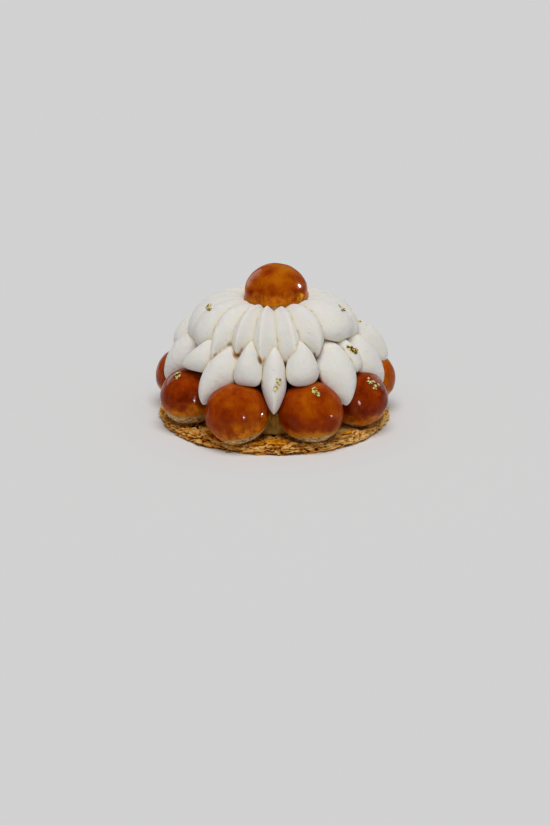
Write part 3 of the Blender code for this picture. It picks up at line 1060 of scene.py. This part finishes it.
# From the first to the second of these the top turns into the rim.
RIM_STARTS = (0.935 * BASE_RADIUS, 0.985 * BASE_RADIUS)
SMOOTH_INSIDE = 0.64 * BASE_RADIUS
SMOOTH_BAKE = 0.3
TOP_HALF = (0.5 * BASE_TOP, BASE_TOP)
FOOT_FADES = (0.1 * BASE_TOP, 0.6 * BASE_TOP)
# Painted shade: the foot of the rim is coloured darker. Painted light: the side towards the
# bearing below is coloured paler.
FOOT_SHADE = 0.50
LIT_SIDE_BEARING = 68.0
LIT_SIDE_WIDTH = 44.0
LIT_SIDE_PALE = 0.44
MEAN_BAKE = -0.12
# How much cracks and pits darken a place, partly as painted shade, and how much lumps and grit
# lighten it, partly as painted light.
DEEP_DARK, LUMP_PALE, GRIT_PALE = 1.30, 0.50, 0.55

bake_and_shade_layer = bm.verts.layers.float.new("bake_and_shade")
for vert in bm.verts:
    radius = math.hypot(vert.co.x, vert.co.y)
    if radius < SMOOTH_INSIDE:
        vert[bake_and_shade_layer] = SMOOTH_BAKE
        vert.co += BASE_CENTRE
        continue
    side = blend(*RIM_STARTS, radius)
    crack, pit = pastry_relief(vert.co, radius)
    leaf = noise.noise(along_leaves(vert.co, radius, *LEAVES))
    lump = 1.1 * leaf + 0.5 * noise.noise(vert.co / LUMP_SIZE)
    grit = noise.noise(along_leaves(vert.co, radius, *GRIT))
    depth = CRACK_DEPTH * crack + PIT_DEPTH * pit - LUMP_DEPTH * lump - GRIT_DEPTH * grit
    push = side * (RIM_PROUD - depth) + RIM_WANDERS * noise.noise(vert.co / WANDER_SIZE)
    if vert.co.z > TOP_HALF[0]:
        vert.co.z -= (1 - 0.6 * side) * depth * blend(*TOP_HALF, vert.co.z)
    vert.co.x *= 1 + push / radius
    vert.co.y *= 1 + push / radius
    low_down = FOOT_SHADE * (1 - blend(*FOOT_FADES, vert.co.z))
    turned = math.degrees(math.atan2(vert.co.x, -vert.co.y))
    shade = low_down + MEAN_BAKE - LIT_SIDE_PALE * hill(turned, LIT_SIDE_BEARING, LIT_SIDE_WIDTH)
    vert[bake_and_shade_layer] = shade + DEEP_DARK * max(crack, pit) - LUMP_PALE * lump - GRIT_PALE * grit
    vert.co += BASE_CENTRE
core = finish_piece(bm, "pastry_core", pastry, ["pastry_base"])
print("core faces:", len(core.data.polygons))

# %% [markdown]
# A flake is a small ragged sheet with a little thickness and a curl. `create_grid` makes the
# sheet, `extrude_face_region` thickens it, and moving its points along a curve bends it. It could
# be a picture of pastry, but real edges catch the light from any side.

# %% The shape of a flake
FLAKE_SIDES = (4, 3)
EDGE_BAKE = -0.15
MIDDLE_BAKE = 0.1
ABOVE_FLOOR = 0.0001
SAGS = (-0.5, 0.7)
TWISTS = (-0.9, 0.9)
# One source of chance serves all that is scattered. Its seed makes each run the same.
chance = random.Random(11)


def thicken(bm, by):
    """Makes a sheet solid: a copy of its faces is moved by a vector, with walls between."""
    grown = bmesh.ops.extrude_face_region(bm, geom=bm.faces[:])
    top = [item for item in grown["geom"] if isinstance(item, bmesh.types.BMVert)]
    bmesh.ops.translate(bm, vec=by, verts=top)


def flake_bmesh(length, width, thickness, curl, bake_and_shade):
    bm = bmesh.new()
    bake_and_shade_layer = bm.verts.layers.float.new("bake_and_shade")
    bmesh.ops.create_grid(bm, x_segments=FLAKE_SIDES[0], y_segments=FLAKE_SIDES[1], size=0.5)
    for vert in bm.verts:
        vert[bake_and_shade_layer] = bake_and_shade + MIDDLE_BAKE
        if vert.is_boundary:
            vert.co.x *= chance.uniform(0.55, 1.2)
            vert.co.y *= chance.uniform(0.45, 1.3)
            vert[bake_and_shade_layer] = bake_and_shade + EDGE_BAKE
    thicken(bm, (0, 0, 1))
    sag = chance.uniform(*SAGS)
    twist = chance.uniform(*TWISTS)
    for vert in bm.verts:
        x, y = vert.co.x, vert.co.y
        rise = curl * width * (y + 0.5) ** 2 + sag * length * x * x + twist * width * x * y
        vert.co = Vector((x * length, y * width, vert.co.z * thickness + rise))
    return bm


def set_flake(bm, centre, bearing, spin, tip, roll):
    """Lays a flake at a point: spin turns it in its own plane, tip lifts its outer edge."""
    outward = place(1.0, bearing, 0.0)
    along = Vector((-outward.y, outward.x, 0.0))
    turned = Matrix((along, outward, Vector((0, 0, 1)))).transposed()
    for angle, axis in ((tip, "X"), (roll, "Y"), (spin, "Z")):
        turned = turned @ Matrix.Rotation(angle, 3, axis)
    moved = Matrix.Translation(BASE_CENTRE + centre) @ turned.to_4x4()
    bmesh.ops.transform(bm, matrix=moved, verts=bm.verts)
    lowest = min(vert.co.z for vert in bm.verts)
    if lowest < ABOVE_FLOOR:
        bmesh.ops.translate(bm, vec=(0, 0, ABOVE_FLOOR - lowest), verts=bm.verts)


print("squares in a flake:", FLAKE_SIDES[0] * FLAKE_SIDES[1])

# %% [markdown]
# Several hundred flakes are set like roof tiles round the rim, leaf above leaf, and more lie
# loose on top. All are one mesh, because thousands of objects would be slow to handle.

# %% Scatter flakes
FLAKE_LAYERS = 6
FLAKES_IN_LAYER = 90
LOOSE_FLAKES = 320
# The least and the most of a flake's length, width, thickness, curl and bake.
RIM_FLAKE = ((0.0018, 0.0062), (0.0012, 0.0029), (0.00016, 0.00034), (-0.5, 0.6), (-0.1, 0.45))
LOOSE_FLAKE = ((0.0014, 0.0046), (0.0009, 0.0025), (0.00016, 0.00034), (-0.5, 0.7), (-0.15, 0.45))

# How far the lowest leaf lies above the floor, how far rim flakes stand proud and are set in, and
# how far a flake may lie off its level.
LOWEST_LEAF = 0.0005
STANDS_PROUD = 0.0010
SET_IN = (0.0008, 0.0034)
OFF_LEVEL = (-0.0004, 0.0004)
LOOSE_OFF_LEVEL = (-0.0004, 0.0006)

flakes = bmesh.new()
for layer in range(FLAKE_LAYERS):
    height = LOWEST_LEAF + BASE_TOP * layer / (FLAKE_LAYERS - 1)
    for step in range(FLAKES_IN_LAYER):
        bearing = 360 * (step + chance.random()) / FLAKES_IN_LAYER
        radius = BASE_RADIUS + STANDS_PROUD - chance.uniform(*SET_IN)
        small = flake_bmesh(*(chance.uniform(*bounds) for bounds in RIM_FLAKE))
        centre = place(radius, bearing, height + chance.uniform(*OFF_LEVEL))
        spin, tip, roll = chance.gauss(0, 0.4), chance.gauss(0, 0.3), chance.gauss(0, 0.16)
        set_flake(small, centre, bearing, spin, tip, roll)
        add_copy(flakes, small)
for _ in range(LOOSE_FLAKES):
    bearing = chance.uniform(0, 360)
    radius = BASE_RADIUS * math.sqrt(chance.uniform(0.58, 0.97))
    small = flake_bmesh(*(chance.uniform(*bounds) for bounds in LOOSE_FLAKE))
    centre = place(radius, bearing, BASE_TOP + chance.uniform(*LOOSE_OFF_LEVEL))
    spin, tip, roll = chance.uniform(0, math.tau), chance.gauss(0, 0.5), chance.gauss(0, 0.5)
    set_flake(small, centre, bearing, spin, tip, roll)
    add_copy(flakes, small)
flaky = finish_piece(flakes, "pastry_flakes", pastry)
print("flake faces:", len(flaky.data.polygons))

# %% [markdown]
# Crumbs gather where the choux were pressed into the pastry. Each is a ball with few faces,
# squeezed at random, because nobody looks at one crumb.

# %% Crumbs
CRUMBS = 420
CRUMB_SIZES = (0.0003, 0.0009)
crumbs = bmesh.new()
for _ in range(CRUMBS):
    bearing = chance.uniform(0, 360)
    radius = BASE_RADIUS * math.sqrt(chance.uniform(0.60, 0.99))
    small = bmesh.new()
    bake_and_shade_layer = small.verts.layers.float.new("bake_and_shade")
    bmesh.ops.create_icosphere(small, subdivisions=1, radius=chance.uniform(*CRUMB_SIZES))
    shade = chance.uniform(-0.1, 0.6)
    for vert in small.verts:
        vert.co *= chance.uniform(0.6, 1.2)
        vert[bake_and_shade_layer] = shade
    centre = BASE_CENTRE + place(radius, bearing, BASE_TOP + chance.uniform(0.0004, 0.0014))
    bmesh.ops.translate(small, vec=centre, verts=small.verts)
    add_copy(crumbs, small)
crumbled = finish_piece(crumbs, "pastry_crumbs", pastry)
print("crumb faces:", len(crumbled.data.polygons))

# %% [markdown]
# Some caramel ran down and set in glossy patches on the pastry. A patch is a flattened ball whose
# outline wanders with noise, laid on the top of the base.

# %% Run caramel
# Bearing, distance from the middle, length along the rim and width of each patch.
PUDDLES = (
    (1.5, 0.0745, 0.019, 0.011),
    (-9, 0.079, 0.012, 0.006),
    (-33, 0.079, 0.013, 0.005),
    (44, 0.076, 0.009, 0.005),
    (118, 0.077, 0.012, 0.006),
    (-125, 0.077, 0.01, 0.006),
    (160, 0.078, 0.011, 0.005),
)
PUDDLE_POINTS = (48, 20)
PUDDLE_HEIGHT = 0.0008
PUDDLE_RIPPLES = 0.0005
# How deep and how fine the outline of a patch wanders, in two steps.
OUTLINE_WANDERS = (0.35, 1.6)
OUTLINE_FRAYS = (0.15, 4)

puddles = bmesh.new()
for bearing, radius, length, width in PUDDLES:
    small = ball_bmesh(*PUDDLE_POINTS)
    shift = Vector((bearing, radius * 100, 0))
    for vert in small.verts:
        flat = Vector((vert.co.x, vert.co.y, 0))
        edge = 1 + uneven(OUTLINE_WANDERS, flat, shift) + uneven(OUTLINE_FRAYS, flat, shift)
        along, out = vert.co.x * edge * length / 2, vert.co.y * edge * width / 2
        lift = PUDDLE_HEIGHT * vert.co.z + PUDDLE_RIPPLES * noise.noise(flat * 3 - shift)
        level = BASE_TOP + PUDDLE_HEIGHT + lift
        vert.co = BASE_CENTRE + place(radius + out, bearing, level, along)
    add_copy(puddles, small)
print("patches of run caramel:", len(PUDDLES))

# %% [markdown]
# A thin shard of set caramel stands at the foot of the crowning chou. A line of sight through its
# pixel in the picture finds the place, and the shard is turned to lie against the chou's side.

# %% The shard on the crown
SHARD_PIXEL = (300.5, 297.5)
SHARD_POINTS = (32, 20)
SHARD_SIZE = Vector((0.0033, 0.0012, 0.0027))
SHARD_RAGGED = (0.45, 2.2)
SHARD_NOISE = Vector((4, 1, 7))
_, shard_place, shard_out = first_surface(SHARD_PIXEL, [crown])
small = ball_bmesh(*SHARD_POINTS)
shard_turn = shard_out.to_track_quat("Y", "Z").to_matrix()
for vert in small.verts:
    edge = 1 + uneven(SHARD_RAGGED, Vector((vert.co.x, 0, vert.co.z)), SHARD_NOISE)
    flat = Vector((vert.co.x * SHARD_SIZE.x, vert.co.y * SHARD_SIZE.y, vert.co.z * SHARD_SIZE.z))
    vert.co = shard_place + shard_turn @ (flat * edge)
add_copy(puddles, small)
set_caramel = finish_piece(puddles, "run_caramel", run_caramel)
print("caramel faces:", len(set_caramel.data.polygons))

# %% [markdown]
# ## Gold leaf and vanilla
# Gold leaf is placed one by one: a line of sight goes through a pixel of the picture and stops at
# the first surface it meets. There a small ragged sheet is laid, every point of it pulled to the
# nearest point of what carries it, and then crumpled.

# %% A leaf of gold
LEAF_STEPS = 6
LEAF_SHAPE = 0.75
LEAF_RAGGED = (0.65, 1.25)
LEAF_CLEARANCE = 0.00008
LEAF_CRUMPLE = 0.30
LEAF_THICKNESS = 0.00006


def leaf_bmesh(piece, point, normal, size, turn):
    side = normal.orthogonal().normalized()
    side.rotate(Matrix.Rotation(turn, 3, normal))
    other = normal.cross(side)
    bm = bmesh.new()
    bmesh.ops.create_grid(bm, x_segments=LEAF_STEPS, y_segments=LEAF_STEPS, size=0.5)
    shift = Vector((turn, size * 1e3, 3.0))
    for vert in bm.verts:
        flat = vert.co.copy()
        if vert.is_boundary:
            flat *= chance.uniform(*LEAF_RAGGED)
        target = point + (side * flat.x + other * flat.y * LEAF_SHAPE) * size
        _, near, out, _ = piece.closest_point_on_mesh(target)
        fold = max(0.0, 0.5 + noise.noise(flat * 3.0 + shift))
        vert.co = near + out * (LEAF_CLEARANCE + LEAF_CRUMPLE * size * fold**2)
    thicken(bm, normal * LEAF_THICKNESS)
    return bm


print("squares in a leaf:", LEAF_STEPS**2)

# %% [markdown]
# The cook dropped the leaf in a few places only. Each group is some pixels wide and holds several
# leaves, so that folds, holes and bright edges mix as they do in real leaf.

# %% Lay the gold leaf
# The pixel of each group, how far it spreads in pixels, and how many leaves it has.
GOLD_GROUPS = (
    ((208.5, 307.2), (2.2, 2.8), 18),
    ((340.6, 306.5), (1.2, 1.2), 5),
    ((343.4, 310), (1.4, 1.4), 7),
    ((360, 321), (0.8, 0.8), 3),
    ((350, 347.5), (2.6, 1.8), 14),
    ((354.5, 351.5), (2.4, 1.8), 14),
    ((278.6, 381.5), (1.7, 2.5), 26),
    ((276.2, 387.5), (1.7, 2.5), 20),
    ((314, 390), (2.2, 2.4), 15),
    ((317, 393.4), (2.2, 2.4), 15),
    ((371, 381), (3.2, 3.2), 13),
    ((376.5, 386.5), (3.2, 2.8), 13),
    ((178.6, 374), (2.4, 2), 12),
    ((175.4, 377.4), (2.2, 2.2), 12),
    ((157.6, 398), (1.2, 1.2), 4),
)
LEAF_SIZES = (0.0011, 0.0025)

leaves = bmesh.new()
carriers = petals + choux + [core, flaky]
bpy.context.view_layer.update()
for (x, y), (wide, high), count in GOLD_GROUPS:
    for _ in range(count):
        pixel = (x + chance.uniform(-wide, wide), y + chance.uniform(-high, high))
        found = first_surface(pixel, carriers)
        if found:
            size = chance.uniform(*LEAF_SIZES)
            add_copy(leaves, leaf_bmesh(*found, size, chance.uniform(0, math.tau)))
gilding = finish_piece(leaves, "gold_leaf_flecks", gold)
print("gold faces:", len(gilding.data.polygons))

# %% [markdown]
# Vanilla seeds show in the cream as specks under half a millimetre. A random face of a random
# petal carries each, half sunk in the cream.

# %% Scatter vanilla seeds
SEEDS = 900
SEED_SIZES = (0.00014, 0.00036)
SEED_FLATNESS = 0.6
# Faces that look down, or in towards the middle, stay bare.
LOOKS_DOWN, LOOKS_IN = -0.2, -0.01

seeds = bmesh.new()
for _ in range(SEEDS):
    petal = chance.choice(petals)
    face = petal.data.polygons[chance.randrange(len(petal.data.polygons))]
    if face.normal.z < LOOKS_DOWN or face.center.xy.dot(face.normal.xy) < LOOKS_IN:
        continue
    small = bmesh.new()
    bmesh.ops.create_icosphere(small, subdivisions=1, radius=chance.uniform(*SEED_SIZES))
    slim = (1, chance.uniform(0.5, 1.0), SEED_FLATNESS)
    bmesh.ops.scale(small, vec=slim, verts=small.verts)
    bmesh.ops.translate(small, vec=face.center, verts=small.verts)
    add_copy(seeds, small)
seeded = finish_piece(seeds, "vanilla_seeds", vanilla)
print("seed faces:", len(seeded.data.polygons))

# %% [markdown]
# ## Floor and light
# The floor is pale and plain, so that its colour spills softly on the cake from below, and so
# large that its edge lies far behind.

# %% The floor
FLOOR_SIDE = 12.0
FLOOR_GREY = (0.80, 0.80, 0.80, 1)
floor_material, *_ = new_material(
    "studio_floor", Base_Color=FLOOR_GREY, Roughness=0.9, Specular_IOR_Level=0.0
)
bm = bmesh.new()
bmesh.ops.create_grid(bm, x_segments=8, y_segments=8, size=FLOOR_SIDE / 2)
mesh = bpy.data.meshes.new("studio_floor")
bm.to_mesh(mesh)
bm.free()
mesh.materials.append(floor_material)
floor = add_object("studio_floor", mesh)
floor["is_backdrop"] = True
print("floor side in metres:", FLOOR_SIDE)

# %% [markdown]
# Caramel shows its gloss by small bright reflections. Each comes from a lamp of its own, which
# stands where a mirror on the chou would show it to the camera. Light linking lets it light only
# the gloss of the choux it is meant for, so that one highlight can be moved while the rest stays
# as it is. Two wide, weak lamps give the soft gleam at the sides.

# %% Lamps that glint on the caramel
LAMP_AIM = Vector((0, 0, 0.05))


def point_lamp(lamp, heading):
    lamp.rotation_euler = heading.to_track_quat("-Z", "Y").to_euler()


# The place, the width and the strength of the lamps that only glint on the caramel, and the
# choux they glint on: counted round the ring from the front, with the crown as number 10.
SPARKS = (
    ("front_spark", (0.38, -0.89, 0.16), 0.085, 9.0, (1,)),
    ("second_spark", (0.88, 0.10, 0.02), 0.065, 4.0, (1,)),
    ("left_spark", (0.30, -0.88, 0.20), 0.075, 10.0, (9,)),
    ("soft_spark", (0.12, -0.95, 0.14), 0.12, 3.5, (3,)),
    ("right_spark", (0.90, -0.34, 0.03), 0.075, 9.0, (2, 5, 6, 7, 8)),
    ("crown_spark", (0.83, 0.20, 0.43), 0.075, 40.0, (10,)),
    ("left_gleam", (-0.90, 1.00, 0.55), 0.9, 5.0, (9, 10)),
    ("right_gleam", (0.90, 1.00, 0.45), 0.9, 4.0, (3,)),
)
for name, spot, side, watts, numbers in SPARKS:
    data = bpy.data.lights.new(name, "AREA")
    data.shape = "DISK"
    data.size = side
    data.energy = watts
    spark = add_object(name, data)
    spark.location = spot
    point_lamp(spark, LAMP_AIM - spark.location)
    spark.visible_diffuse = False
    spark.visible_camera = False
    lit = bpy.data.collections.new("lit_by_" + name)
    for number in numbers:
        lit.objects.link(choux[number - 1])
    spark.light_linking.receiver_collection = lit
    spark.light_linking.blocker_collection = lit
print("lamps that glint:", len(SPARKS))

# %% [markdown]
# The light is that of a bright studio: an even sky, and a large window above and in front. A sun
# lamp with a wide angle stands for the window, so that shadows are soft and the back of the cake
# gets as much light as the front. The camera sees the sky as pale as the floor, which hides the
# floor's far edge.

# %% Window and sky
WINDOW_HEADING = Vector((-0.02, 0.42, -1.0))
WINDOW_STRENGTH = 1.99
WINDOW_ANGLE = math.radians(38)
SKY_STRENGTH = 0.215
SKY_SEEN = 0.66

data = bpy.data.lights.new("window", "SUN")
data.energy = WINDOW_STRENGTH
data.angle = WINDOW_ANGLE
window = add_object("window", data)
point_lamp(window, WINDOW_HEADING)
window.visible_glossy = False

sky = bpy.data.worlds.new("studio")
bpy.context.scene.world = sky
sky.use_nodes = True
background = sky.node_tree.nodes["Background"]
seen = node(sky.node_tree, "ShaderNodeLightPath", {}).outputs["Is Camera Ray"]
inputs = {"Value": seen, "To Min": SKY_STRENGTH, "To Max": SKY_SEEN}
strength = node(sky.node_tree, "ShaderNodeMapRange", inputs).outputs["Result"]
fill(sky.node_tree, background, {"Color": (1, 1, 1, 1), "Strength": strength})
bpy.context.scene.view_settings.view_transform = "Standard"
print("sun lamp and sky:", WINDOW_STRENGTH, SKY_STRENGTH)

# %% [markdown]
# Last, the size of the finished cake is printed.

# %% Measure and finish
low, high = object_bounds()
print("finished size in mm:", [round(1000 * side, 1) for side in high - low])
